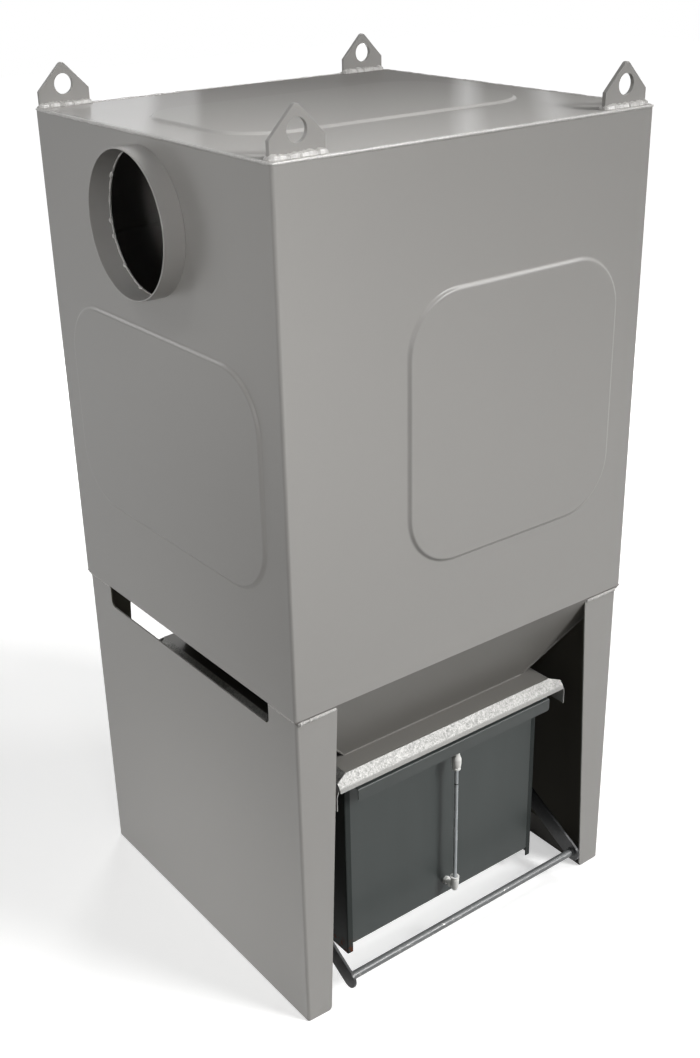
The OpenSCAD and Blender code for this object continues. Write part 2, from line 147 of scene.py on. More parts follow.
floor_finish, wire = new_finish("studio_floor")
place = wire.add("ShaderNodeTexCoord", {}, {}, "Object")
reach = wire.add("ShaderNodeVectorMath", {"operation": "LENGTH"}, {0: place}, "Value")
# Painted glow on the floor: its seen glow is lower near the object and rises to white far away.
far = wire.add("ShaderNodeMapRange", {}, {
    "Value": reach, "From Min": glow_start, "From Max": glow_end})
haze = wire.add("ShaderNodeMix", {"data_type": "RGBA"}, {0: far, 6: floor_near, 7: pure_white}, 2)
matt = wire.add("ShaderNodeBsdfDiffuse", {}, {"Color": floor_seen})
glow = wire.add("ShaderNodeEmission", {}, {"Color": haze})
pale = wire.add("ShaderNodeAddShader", {}, {0: matt, 1: glow})
dim = wire.add("ShaderNodeBsdfDiffuse", {}, {"Color": floor_bounce})
mixed = wire.add("ShaderNodeMixShader", {}, {0: shown_share(wire), 1: dim, 2: pale})
wire.add("ShaderNodeOutputMaterial", {}, {"Surface": mixed})

bm = bmesh.new()
bmesh.ops.create_grid(bm, x_segments=1, y_segments=1, size=floor_half)
link_mesh(bm, "studio_floor", floor_finish)

world = bpy.data.worlds.new("studio_surround")
world.use_nodes = True
world.node_tree.nodes.clear()
wire = Wire(world.node_tree)
white = wire.add("ShaderNodeBackground", {}, {"Color": pure_white, "Strength": 1.0})
fill = wire.add("ShaderNodeBackground", {}, {"Color": pure_white, "Strength": ambient})
mixed = wire.add("ShaderNodeMixShader", {}, {0: shown_share(wire), 1: fill, 2: white})
wire.add("ShaderNodeOutputWorld", {}, {"Surface": mixed})
bpy.context.scene.world = world


def soft_box(name, place, aim, size, watts, spread=180):
    """A square lamp at a place, turned to a point. Its spread in degrees is narrowed by a grid."""
    lamp = bpy.data.lights.new(name, "AREA")
    lamp.shape = "SQUARE"
    lamp.size = size
    lamp.energy = watts
    lamp.spread = math.radians(spread)
    box = bpy.data.objects.new(name, lamp)
    box.location = place
    box.rotation_euler = (Vector(aim) - Vector(place)).to_track_quat("-Z", "Y").to_euler()
    bpy.context.scene.collection.objects.link(box)


soft_box("front_box", (4.4, -7.9, 6.0), (-3.0, 0.0, -2.8), 3.0, 126, 50)
soft_box("right_box", (3.5, -1.6, 4.8), (0.1, -0.4, 1.3), 0.9, 52)
soft_box("front_left_box", (-1.5, -3.7, 4.8), (0.0, -0.3, 1.1), 0.9, 18)
soft_box("left_box", (-2.6, 0.9, 5.0), (-0.4, 0.0, 1.0), 0.8, 21)
soft_box("left_accent", (-2.2, -1.9, 1.9), (-0.42, -0.05, 1.45), 0.4, 1.35, 40)
soft_box("left_back_box", (-2.0, 3.7, 3.3), (-0.4, 0.0, 1.2), 0.9, 16)
soft_box("left_fill", (-2.4, -0.1, 0.3), (0.0, 0.0, -0.1), 0.8, 2.9, 60)
soft_box("back_box", (2.4, 3.2, 0.9), (0.0, 0.0, 0.8), 1.3, 92)


# Front and back walls of the box: 3 mm steel sheet folded round the upright corners, with a raised
# panel pressed into each to stiffen it, and a satin grey powder coat.
cloud_scale = 3.1
peel_scale = 420.0
peel_depth = 0.0004


def satin_coat(name, colour, roughness, specular, cloud, peel):
    """Powder coat: faint clouds in its colour and gloss, and a fine orange peel."""
    finish, wire = new_finish(name)
    place = wire.add("ShaderNodeTexCoord", {}, {}, "Object")
    clouds = wire.add("ShaderNodeTexNoise", {}, {
        "Vector": place, "Scale": cloud_scale, "Detail": 5.0})
    grain = wire.add("ShaderNodeTexNoise", {}, {
        "Vector": place, "Scale": peel_scale, "Detail": 2.0})
    light = [min(1.0, part * (1.0 + cloud)) for part in colour[:3]] + [1.0]
    dark = [part * (1.0 - cloud) for part in colour[:3]] + [1.0]
    tone = wire.add("ShaderNodeMix", {"data_type": "RGBA"}, {0: clouds, 6: dark, 7: light}, 2)
    skin = wire.add("ShaderNodeBump", {}, {
        "Strength": peel, "Distance": peel_depth, "Height": grain})
    gloss = roughness - 0.03 + 0.08 * clouds
    coat = wire.add("ShaderNodeBsdfPrincipled", {}, {
        "Base Color": tone, "Roughness": gloss, "Specular IOR Level": specular, "Normal": skin})
    wire.add("ShaderNodeOutputMaterial", {}, {"Surface": coat})
    return finish


def round_off(bm, geom, radius, steps, affect="EDGES"):
    """Rounds edges, or the corners of an outline or of a sheet that has no thickness yet."""
    bmesh.ops.bevel(bm, geom=geom, offset=radius, affect=affect, segments=steps, profile=0.5,
                    material=-1)


def flat_face(corners, radius=0.0, rounded=(0, 1, 2, 3)):
    """One flat face through corners in XY, the chosen ones rounded."""
    bm = bmesh.new()
    points = [bm.verts.new((x, y, 0.0)) for x, y in corners]
    bm.faces.new(points)
    if radius > 0.0:
        round_off(bm, [points[i] for i in rounded], radius, corner_steps, "VERTICES")
    bm.normal_update()
    return bm


def joined(parts):
    """Several meshes as one."""
    whole = parts[0]
    for part in parts[1:]:
        loose = bpy.data.meshes.new("loose")
        part.to_mesh(loose)
        part.free()
        whole.from_mesh(loose)
        bpy.data.meshes.remove(loose)
    return whole


def oblong(width, height, x=0.0, y=0.0):
    """The corners of a rectangle about a point."""
    half_w = width / 2
    half_h = height / 2
    return [(x - half_w, y - half_h), (x + half_w, y - half_h),
            (x + half_w, y + half_h), (x - half_w, y + half_h)]


def face_away(bm, point):
    """Turns every face the way of the largest, and that one away from the point."""
    bmesh.ops.recalc_face_normals(bm, faces=bm.faces)
    largest = max(bm.faces, key=lambda face: face.calc_area())
    if largest.normal.dot(largest.calc_center_median() - Vector(point)) < 0:
        bmesh.ops.reverse_faces(bm, faces=bm.faces)


def fill_between(bm):
    """Fills the flat area between the open loops."""
    open_edges = [edge for edge in bm.edges if len(edge.link_faces) < 2]
    bmesh.ops.triangle_fill(bm, use_beauty=True, use_dissolve=False, edges=open_edges)


def creases(bm, least):
    """The edges at which two faces meet at more than this angle, in degrees."""
    return [edge for edge in bm.edges
            if len(edge.link_faces) == 2 and edge.calc_face_angle() > math.radians(least)]


def pressed_sheet(corners, corner_r, panel, hole=None):
    """A sheet in XY with its face at Z = 0: a raised panel, and a round hole if one is given."""
    width, height, x, y = panel
    raised = flat_face(oblong(width + 2 * press_soft, height + 2 * press_soft, x, y),
                       press_r + press_soft)
    middle = raised.faces[:]
    for inward, up in ((press_soft, 0.0), (press_border, press_rise), (press_soft, 0.0)):
        bmesh.ops.inset_region(raised, faces=middle, thickness=inward, depth=up,
                               use_boundary=True, use_even_offset=True)
    round_off(raised, creases(raised, press_angle), press_ease, press_steps)
    rim = flat_face(corners, corner_r)
    bmesh.ops.delete(rim, geom=rim.faces[:], context="FACES_ONLY")
    if hole:
        radius, x, y = hole
        bmesh.ops.create_circle(rim, segments=duct_steps, radius=radius, matrix=shift(x, y, 0.0))
    bm = joined([raised, rim])
    fill_between(bm)
    return bm


def make_piece(bm, name, finish, slot, body, *nodes):
    """Ends a piece: soft shading between creases, its body and the nodes it stands for. The slot is not
    used.
    """
    bm.normal_update()
    for face in bm.faces:
        face.smooth = True
    for edge in creases(bm, sharp_angle):
        edge.smooth = False
    piece = link_mesh(bm, name, finish)
    weighted = piece.modifiers.new("even_shading", "WEIGHTED_NORMAL")
    weighted.keep_sharp = True
    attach(piece, body)
    if nodes:
        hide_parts(*nodes)
    return piece


def set_in_place(bm, *steps):
    """Moves the whole mesh by each matrix in turn."""
    for step in steps:
        bmesh.ops.transform(bm, matrix=step, verts=bm.verts)
    return bm


def turn(degrees, axis):
    """A turn about an axis through the origin."""
    return Matrix.Rotation(math.radians(degrees), 4, axis)


def shift(x, y, z):
    """A move along the axes."""
    return Matrix.Translation((x, y, z))


grey_coat = satin_coat("grey_powder_coat", tint(154, 152, 149), 0.32, 0.5, 0.02, 0.10)

sharp_angle = 34
corner_steps = 14
same_place = 1e-6

body_sheet = 0.003
press_rise = 0.005
press_border = 0.005
press_r = 0.105
press_soft = 0.003
press_ease = 0.7 * press_soft
press_angle = 12
press_steps = 5
corner_bend = 0.006
bend_steps = 6
panel_foot = 0.200
front_panel_w = 0.486
front_panel_h = 0.492
front_panel_x = 0.091

wall_low, wall_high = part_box("front_wall")
front_y = wall_low.y + press_rise
wall_h = wall_high.z - wall_low.z
flat_x = wall_high.x - corner_bend
front_panel = (front_panel_w, front_panel_h, front_panel_x, panel_foot + front_panel_h / 2)

for wall_name, quarter in (("front_wall", 0), ("back_wall", 180)):
    bm = pressed_sheet([(-flat_x, 0.0), (flat_x, 0.0), (flat_x, wall_h), (-flat_x, wall_h)], 0.0,
                       front_panel)
    for side in (-1, 1):
        upright = [edge for edge in bm.edges
                   if all(abs(vert.co.x - side * flat_x) < same_place for vert in edge.verts)]
        ends = list({vert for edge in upright for vert in edge.verts})
        bmesh.ops.spin(bm, geom=upright + ends, cent=(side * flat_x, 0.0, -corner_bend),
                       axis=(0.0, 1.0, 0.0), angle=math.radians(90 * side), steps=bend_steps)
    face_away(bm, (0.0, wall_h / 2, -1.0))
    bmesh.ops.solidify(bm, geom=bm.faces, thickness=body_sheet)
    set_in_place(bm, turn(90, "X"), shift(0.0, front_y, wall_low.z), turn(quarter, "Z"))
    make_piece(bm, "pressed_" + wall_name, grey_coat, "body_paint", "frame", wall_name)


# Side walls of the box: flat 3 mm sheet welded between the folded corners, each with a longer
# raised panel low down and a round hole for its duct spigot.
side_low, side_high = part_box("left_wall")
side_half = side_high.y
side_x = -side_low.x - press_rise
spigot_low, spigot_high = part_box("inlet_spigot")
spigot_z = (spigot_low.z + spigot_high.z) / 2
spigot_r = spigot_high.y
spigot_wall = 0.003
duct_steps = 96
side_panel_w = 0.630
side_panel_h = 0.398
side_panel = (side_panel_w, side_panel_h, 0.0, panel_foot + side_panel_h / 2)

for wall_name, quarter in (("left_wall", 0), ("right_wall", 180)):
    bm = pressed_sheet([(-side_half, 0.0), (side_half, 0.0), (side_half, wall_h), (-side_half, wall_h)],
                       0.0, side_panel, (spigot_r - spigot_wall, 0.0, spigot_z - side_low.z))
    face_away(bm, (0.0, wall_h / 2, -1.0))
    bmesh.ops.solidify(bm, geom=bm.faces, thickness=body_sheet)
    set_in_place(bm, turn(90, "X"), turn(-90, "Z"), shift(-side_x, 0.0, side_low.z), turn(quarter, "Z"))
    make_piece(bm, "pressed_" + wall_name, grey_coat, "body_paint", "frame", wall_name)


# The roof: a flat lid of the same sheet laid on the walls, with a wide raised panel in its middle
# and eased edges. Dust dulls its coat; its colour holds painted shade, darker towards the back,
# and a glossy coat at the left, in two bands and on the panel's border paints reflections there.
def roof_coat_with_painted_sheen():
    """Powder coat dulled by dust, with painted shade darker towards the back, and painted reflections
    from a glossy coat at the left, in two bands and on the panel's border.
    """
    finish, wire = new_finish("roof_coat_painted_shade_and_sheen")
    place = wire.add("ShaderNodeTexCoord", {}, {}, "Object")
    clouds = wire.add("ShaderNodeTexNoise", {}, {
        "Vector": place, "Scale": cloud_scale, "Detail": 5.0})

    def along(direction):
        """How far a point lies along a direction."""
        return wire.add("ShaderNodeVectorMath", {"operation": "DOT_PRODUCT"},
                        {0: place, 1: direction}, "Value")

    def ramp(value, start, end):
        """0 at the start, rising to 1 at the end."""
        return wire.add("ShaderNodeMapRange", {}, {"Value": value, "From Min": start, "From Max": end})

    def streak(value, middle, half):
        """1 in the middle, fading out on both sides."""
        distance = wire.maths("ABSOLUTE", value - middle, 0.0)
        return ramp(distance, half, 0.0)

    # Painted shade: the coat's colour is lighter at the front and darker towards the back.
    painted_shade_to_back = ramp(along((0.6, 0.8, 0.0)), -0.40, 0.35)
    tone = wire.add("ShaderNodeMix", {"data_type": "RGBA"},
                    {0: painted_shade_to_back, 6: tint(195, 193, 190), 7: tint(146, 144, 141)}, 2)
    # Painted reflections: a glossy coat laid at the left end, in two bands and on the panel's border.
    left = along((0.851, -0.525, 0.0))
    right = along((0.747, -0.664, 0.0))
    height = wire.add("ShaderNodeSeparateXYZ", {}, {"Vector": place}, "Z")
    painted_reflection_left = 0.38 * ramp(left, -0.235, -0.255) + 0.56 * ramp(left, -0.31, -0.34)
    painted_reflection_bands = 0.60 * streak(right, 0.228, 0.036) + 0.50 * streak(right, 0.372, 0.042)
    painted_border_glint = 0.70 * streak(height, roof_z + press_rise / 2, press_rise / 2)
    painted_sheen = wire.maths("MINIMUM", 0.06 + painted_reflection_left + painted_reflection_bands + painted_border_glint, 1.0)
    coat = wire.add("ShaderNodeBsdfPrincipled", {}, {
        "Base Color": tone, "Roughness": 0.60 + 0.1 * clouds, "Specular IOR Level": 0.0,
        "Coat Weight": painted_sheen, "Coat Roughness": 0.20})
    wire.add("ShaderNodeOutputMaterial", {}, {"Surface": coat})
    return finish


roof_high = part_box("roof")[1]
roof_z = roof_high.z - press_rise
roof_sheen_coat = roof_coat_with_painted_sheen()
roof_panel_w = 0.640
roof_panel_d = 0.360
sheet_ease = 0.0008
ease_steps = 2
edge_angle = 60

bm = pressed_sheet(oblong(2 * roof_high.x, 2 * roof_high.y), corner_bend,
                   (roof_panel_w, roof_panel_d, 0.0, 0.0))
face_away(bm, (0.0, 0.0, -1.0))
bmesh.ops.solidify(bm, geom=bm.faces, thickness=body_sheet)
round_off(bm, creases(bm, edge_angle), sheet_ease, ease_steps)
set_in_place(bm, shift(0.0, 0.0, roof_z))
make_piece(bm, "pressed_roof", roof_sheen_coat, "body_paint", "frame", "roof")


# The seam round the roof: a run of weld along each edge of the lid, ground nearly flush and
# coated with the rest, its coat painted lighter as a highlight.
def weld_run(start, end, radius, pitch, wave):
    """A bead of weld from start to end, whose ripples swell and shrink."""
    start = Vector(start)
    run = Vector(end) - start
    rings = max(3, round(run.length / pitch))
    bm = bmesh.new()
    bmesh.ops.create_cone(bm, cap_ends=True, segments=8, radius1=radius, radius2=radius,
                          depth=run.length)
    long_edges = [edge for edge in bm.edges
                  if abs(edge.verts[0].co.z - edge.verts[1].co.z) > run.length / 2]
    bmesh.ops.subdivide_edges(bm, edges=long_edges, cuts=rings - 1)
    swell = [1.0 + wave * chance.uniform(-1, 1) for _ in range(rings + 1)]
    swell[0] = swell[-1] = end_swell
    lean = [radius * wave * 0.5 * chance.uniform(-1, 1) for _ in range(rings + 1)]
    for vert in bm.verts:
        ring = round((vert.co.z / run.length + 0.5) * rings)
        vert.co.x = vert.co.x * swell[ring] + lean[ring]
        vert.co.y *= swell[ring]
    lay = run.to_track_quat("Z", "Y").to_matrix().to_4x4()
    return set_in_place(bm, lay, shift(*(start + run / 2)))


def weld_coat(name, colour, roughness):
    """Coated weld, its colour lighter than the sheet beside it as a painted highlight, with a coarse
    grain.
    """
    finish, wire = new_finish(name)
    place = wire.add("ShaderNodeTexCoord", {}, {}, "Object")
    grain = wire.add("ShaderNodeTexNoise", {}, {"Vector": place, "Scale": 330.0, "Detail": 3.0})
    light = [min(1.0, part * 1.25) for part in colour[:3]] + [1.0]
    dark = [part * 0.72 for part in colour[:3]] + [1.0]
    tone = wire.add("ShaderNodeMix", {"data_type": "RGBA"}, {0: grain, 6: dark, 7: light}, 2)
    skin = wire.add("ShaderNodeBump", {}, {"Strength": 0.6, "Distance": 0.001, "Height": grain})
    coat = wire.add("ShaderNodeBsdfPrincipled", {}, {
        "Base Color": tone, "Roughness": roughness, "Normal": skin})
    wire.add("ShaderNodeOutputMaterial", {}, {"Surface": coat})
    return finish


# The welds' colour is painted lighter than the grey coat, as a painted highlight.
weld_highlight_grey = weld_coat("coated_weld_painted_highlight", tint(196, 194, 191), 0.30)
chance = random.Random(11)
end_swell = 0.45
seam_r = 0.0029
seam_pitch = 0.011
seam_wave = 0.20
seam_in = 0.001
seam_sunk = 0.0015
edge_x = roof_high.x - seam_in
edge_y = roof_high.y - seam_in
edge_z = roof_z - seam_sunk
runs = []
for side in (-1, 1):
    runs.append(weld_run((side * edge_x, -edge_y, edge_z), (side * edge_x, edge_y, edge_z), seam_r,
                         seam_pitch, seam_wave))
    runs.append(weld_run((-edge_x, side * edge_y, edge_z), (edge_x, side * edge_y, edge_z), seam_r,
                         seam_pitch, seam_wave))
make_piece(joined(runs), "roof_seam", weld_highlight_grey, "body_paint", "frame")


# Four lifting lugs: 8 mm plate cut with square shoulders and a round tip, drilled for a shackle,
# and welded to the roof along both sides of the foot.
def cut_plate(corners, radius, rounded, holes, thickness, ease):
    """A plate in XY under Z = 0: an outline with some round corners, round holes and eased edges."""
    bm = flat_face(corners, radius, rounded)
    if holes:
        bmesh.ops.delete(bm, geom=bm.faces[:], context="FACES_ONLY")
        for hole_r, x, y in holes:
            bmesh.ops.create_circle(bm, segments=hole_steps, radius=hole_r,
                                    matrix=shift(x, y, 0.0))
        fill_between(bm)
    face_away(bm, (0.0, 0.0, -10.0))
    bmesh.ops.solidify(bm, geom=bm.faces, thickness=thickness)
    round_off(bm, creases(bm, edge_angle), ease, ease_steps)
    return bm


hole_steps = 40
lug_half = 0.050
lug_shoulder = 0.028
lug_apex = 0.0783
lug_tip = 0.008
lug_hole = (0.018, 0.0, 0.038)
lug_corners = [(-lug_half, 0.0), (lug_half, 0.0), (lug_half, lug_shoulder), (0.0, lug_apex),
               (-lug_half, lug_shoulder)]
lug_bead = 0.0072
lug_bead_past = 0.003
lug_bead_up = 0.001
edge_bead = 0.0032
bead_pitch = 0.0035
bead_wave = 0.24
bead_half = lug_half + lug_bead_past
bead_z = roof_z + lug_bead_up
runs = []
for lug_name in ("lug_front_left", "lug_front_right", "lug_back_left", "lug_back_right"):
    lug_low, lug_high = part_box(lug_name)
    lug_x = (lug_low.x + lug_high.x) / 2
    bm = cut_plate(lug_corners, lug_tip, [3], [lug_hole], lug_high.y - lug_low.y, sheet_ease)
    set_in_place(bm, turn(90, "X"), shift(lug_x, lug_low.y, lug_low.z))
    make_piece(bm, "cut_" + lug_name, grey_coat, "body_paint", "frame", lug_name)
    for y in (lug_low.y, lug_high.y):
        at_edge = y > roof_high.y - lug_bead
        runs.append(weld_run((lug_x - bead_half, y, bead_z), (lug_x + bead_half, y, bead_z),
                             edge_bead if at_edge else lug_bead, bead_pitch, bead_wave))
make_piece(joined(runs), "lug_welds", weld_highlight_grey, "body_paint", "frame")


# Duct spigots: short rolled tubes butted on the side walls round their holes, with a smooth lip,
# held by an uneven weld and a few tacks on the inside.
def turned(outline, ease, place, steps):
    """An outline of (radius, height) points turned about Z, its corners eased, and set in place."""
    bm = bmesh.new()
    points = [bm.verts.new((radius, 0.0, height)) for radius, height in outline]
    for pair in zip(points, points[1:]):
        bm.edges.new(pair)
    if outline[0][0] > 0.0:
        bm.edges.new((points[-1], points[0]))
    if ease > 0.0:
        inner = points if outline[0][0] > 0.0 else points[1:-1]
        round_off(bm, inner, ease, turned_ease_steps, "VERTICES")
    bmesh.ops.spin(bm, geom=bm.verts[:] + bm.edges[:], cent=(0.0, 0.0, 0.0), axis=(0.0, 0.0, 1.0),
                   angle=2 * math.pi, steps=steps, use_merge=True)
    bmesh.ops.remove_doubles(bm, verts=bm.verts, dist=same_place)
    bmesh.ops.recalc_face_normals(bm, faces=bm.faces)
    return set_in_place(bm, place)


def weld_ring(radius, thick, wave, place, steps):
    """A ring of weld about Z, whose ripples swell and shrink, set in place."""
    bm = turned([(radius - thick, 0.0), (radius, thick), (radius + thick, 0.0), (radius, -thick)],
                thick / 2, Matrix.Identity(4), steps)
    swell = [1.0 + wave * chance.uniform(-1, 1) for _ in range(steps)]
    for vert in bm.verts:
        step = round(math.atan2(vert.co.y, vert.co.x) / (2 * math.pi) * steps) % steps
        mid = Vector((vert.co.x, vert.co.y, 0.0)).normalized() * radius
        vert.co = mid + (vert.co - mid) * swell[step]
    return set_in_place(bm, place)


turned_ease_steps = 3
spigot_l = spigot_high.x - spigot_low.x
lip_ease = 0.0012
inner_r = spigot_r - spigot_wall
ring_bead = 0.0016
ring_wave = 0.6
ring_steps = 110
tack_angles = (62, 97, 108, 139, 167, 188, 214, 222, 262, 301, 340, 25)
tack_r = 0.0042
tack_x = inner_r - 0.0005
tack_z = 0.001
spigot_outline = [(inner_r, 0.0), (spigot_r, 0.0), (spigot_r, spigot_l), (inner_r, spigot_l)]
for spigot_name, side in (("inlet_spigot", -1), ("outlet_spigot", 1)):
    stand_out = shift(side * side_x, 0.0, spigot_z) @ turn(90 * side, "Y")
    bm = turned(spigot_outline, lip_ease, stand_out, duct_steps)
    make_piece(bm, "rolled_" + spigot_name, grey_coat, "body_paint", "frame", spigot_name)
    bm = weld_ring(inner_r, ring_bead, ring_wave, stand_out, ring_steps)
    for angle in tack_angles:
        about = turn(angle + chance.uniform(-4, 4), "Z") @ shift(tack_x, 0.0, tack_z)
        squat = Matrix.Diagonal((0.6, chance.uniform(0.9, 1.6), 0.9, 1.0))
        bmesh.ops.create_icosphere(bm, subdivisions=2, radius=tack_r,
                                   matrix=stand_out @ about @ squat)
    make_piece(bm, spigot_name + "_tacks", weld_highlight_grey, "body_paint", "frame")


# The hopper: four sloping sheets under the box, welded along their corners to a flat outlet
# flange. The solids' shapes are right, so they stay and get their coat and their seams.
def dress(finish, *nodes):
    """Gives CAD nodes that stay in view their finish."""
    for name in nodes:
        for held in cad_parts[name].material_slots:
            held.material = finish


# The hopper's coat is the grey coat painted darker, as painted shade under the box.
hopper_shade_coat = satin_coat("dulled_coat_painted_shade", tint(122, 120, 116), 0.42, 0.3, 0.06, 0.10)
dress(hopper_shade_coat, "hopper_front", "hopper_back", "hopper_left", "hopper_right", "hopper_flange")

outlet_x = 0.228
outlet_y = 0.278
hopper_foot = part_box("hopper_flange")[1].z
hopper_top = wall_low.z
body_y = -front_y
foot_bead = 0.0021
slope_bead = 0.0018
slope_in = 0.003
slope_top = hopper_top - 0.004
runs = []
for side in (-1, 1):
    x = side * outlet_x
    y = side * outlet_y
    runs.append(weld_run((-outlet_x, y, hopper_foot), (outlet_x, y, hopper_foot), foot_bead,
                         bead_pitch, bead_wave))
    runs.append(weld_run((x, -outlet_y, hopper_foot), (x, outlet_y, hopper_foot), foot_bead,
                         bead_pitch, bead_wave))
    for end in (-1, 1):
        runs.append(weld_run((x, end * outlet_y, hopper_foot),
                             (side * (side_x - slope_in), end * (body_y - slope_in), slope_top),
                             slope_bead, seam_pitch, seam_wave))
make_piece(joined(runs), "hopper_welds", hopper_shade_coat, "body_paint", "frame")


# The seal: a square strip of black sponge rubber, glued under the outlet flange. The solid's shape
# is right, so it stays and gets its finish.
seal_rubber, wire = new_finish("black_rubber")
place = wire.add("ShaderNodeTexCoord", {}, {}, "Object")
bloom = wire.add("ShaderNodeTexNoise", {}, {"Vector": place, "Scale": 60.0, "Detail": 4.0})
tone = wire.add("ShaderNodeMix", {"data_type": "RGBA"},
                {0: bloom, 6: tint(14, 14, 14), 7: tint(32, 32, 33)}, 2)
skin = wire.add("ShaderNodeBump", {}, {"Strength": 0.3, "Distance": 0.0005, "Height": bloom})
rubber = wire.add("ShaderNodeBsdfPrincipled", {}, {
    "Base Color": tone, "Roughness": 0.75, "Specular IOR Level": 0.3, "Normal": skin})
wire.add("ShaderNodeOutputMaterial", {}, {"Surface": rubber})
dress(seal_rubber, "seal")


# The guide frame: galvanised strips folded and welded round the flange, which lead the rising bin
# to the seal. Bare zinc, whose crystals show less below the lip's fold.
def fold(path, length, bend, thickness, inside):
    """Sheet folded along a path in XZ and as long as this in Y, its inner side towards a point."""
    bm = bmesh.new()
    points = [bm.verts.new((x, -length / 2, z)) for x, z in path]
    edges = [bm.edges.new(pair) for pair in zip(points, points[1:])]
    drawn = bmesh.ops.extrude_edge_only(bm, edges=edges)
    moved = [item for item in drawn["geom"] if isinstance(item, bmesh.types.BMVert)]
    bmesh.ops.translate(bm, vec=(0.0, length, 0.0), verts=moved)
    round_off(bm, creases(bm, fold_angle), bend, fold_steps)
    face_away(bm, inside)
    if thickness > 0.0:
        bmesh.ops.solidify(bm, geom=bm.faces, thickness=thickness)
    return bm


def trim(bm, point, away):
    """Cuts off what lies past a plane."""
    bmesh.ops.bisect_plane(bm, geom=bm.verts[:] + bm.edges[:] + bm.faces[:], plane_co=point,
                           plane_no=away, clear_outer=True)


lip_fold_low = 0.4715
lip_fold_high = 0.4745
zinc, wire = new_finish("galvanised_zinc")
place = wire.add("ShaderNodeTexCoord", {}, {}, "Object")
wander = wire.add("ShaderNodeTexNoise", {}, {"Vector": place, "Scale": 90.0, "Detail": 2.0}, 1)
bent = wire.add("ShaderNodeMix", {"data_type": "VECTOR"}, {0: 0.012, 4: place, 5: wander}, 1)
height = wire.add("ShaderNodeSeparateXYZ", {}, {"Vector": place}, "Z")
crystals = wire.add("ShaderNodeTexVoronoi", {}, {"Vector": bent, "Scale": 400.0}, "Color")
flat = wire.add("ShaderNodeMapRange", {}, {
    "Value": height, "From Min": lip_fold_low, "From Max": lip_fold_high, "To Min": 0.25})
shades = 0.5 + (crystals - 0.5) * flat
tone = wire.add("ShaderNodeMix", {"data_type": "RGBA"},
                {0: shades, 6: tint(122, 122, 120), 7: tint(168, 167, 164)}, 2)
skin = wire.add("ShaderNodeBump", {}, {"Strength": 0.15, "Distance": 0.0003, "Height": shades})
metal = wire.add("ShaderNodeBsdfPrincipled", {}, {
    "Base Color": tone, "Metallic": 0.4, "Roughness": 0.62 - 0.16 * shades, "Normal": skin})
wire.add("ShaderNodeOutputMaterial", {}, {"Surface": metal})

fold_angle = 5
fold_steps = 4
guide_sheet = 0.002
lip_bend = 0.002
knee_bend = 0.009
flange_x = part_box("hopper_flange")[1].x
flange_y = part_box("hopper_flange")[1].y
broad_low, broad_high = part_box("guide_front")
narrow_low, narrow_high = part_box("guide_left")
guide_knee = hopper_foot - 0.026
lip_drop = 0.008
lip_out = 0.003
guide_chamfer = 0.009
broad_half = broad_high.x
for guide_name, quarter in (("guide_front", 0), ("guide_back", 180)):
    bm = fold([(-flange_y - guide_sheet, hopper_foot),
               (broad_low.y + lip_out, broad_low.z + lip_drop), (broad_low.y, broad_low.z)],
              2 * broad_half, lip_bend, guide_sheet, (0.0, 0.0, 0.0))
    for end in (-1, 1):
        trim(bm, (0.0, end * flange_x, hopper_foot),
             (0.0, end * guide_chamfer, broad_half - flange_x))
    bmesh.ops.holes_fill(bm, edges=[edge for edge in bm.edges if edge.is_boundary])
    set_in_place(bm, turn(90, "Z"), turn(quarter, "Z"))
    make_piece(bm, "folded_" + guide_name, zinc, "zinc", "frame", guide_name)
for guide_name, quarter in (("guide_left", 0), ("guide_right", 180)):
    bm = fold([(-flange_x, hopper_foot), (narrow_low.x, guide_knee), (narrow_low.x, narrow_low.z)],
              2 * narrow_high.y, knee_bend, guide_sheet, (0.0, 0.0, 0.2))
    for end in (-1, 1):
        trim(bm, (0.0, end * flange_y, hopper_foot),
             (0.0, end * (hopper_foot - broad_low.z), narrow_high.y - flange_y))
    bmesh.ops.holes_fill(bm, edges=[edge for edge in bm.edges if edge.is_boundary])
    set_in_place(bm, turn(quarter, "Z"))
    make_piece(bm, "folded_" + guide_name, zinc, "zinc", "frame", guide_name)


# The stand: two panels of 3 mm sheet, each folded into a channel whose flanges taper to the floor,
# with a foot flange and a long slot at the top. They are cut to the hopper's slope and welded under
# the box; their inner faces carry the coat painted darker, as painted shade inside the stand.
inside_shade_coat = satin_coat("inside_coat_painted_shade", tint(112, 109, 100), 0.6, 0.1, 0.06, 0.10)
panel_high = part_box("right_stand_panel")[1]
stand_x = panel_high.x
stand_y = panel_high.y
flange_top = 0.088
flange_foot = 0.055
foot_r = 0.008
foot_bend = 0.0028
foot_bend_steps = 3
foot_w = flange_foot - 0.003
foot_sheet = body_sheet - 0.0005
slot_half = 0.285
slot_foot = hopper_top - 0.050
slot_r = 0.012
cut_steps = 6
nearly = 1e-5
hopper_h = hopper_top - hopper_foot
web_top = hopper_top - hopper_h * (side_x - stand_x) / (side_x - outlet_x)
flange_end = hopper_top - hopper_h * (body_y - stand_y) / (body_y - outlet_y)
inner_edge = Vector((stand_x - flange_foot, 0.0, 0.0))
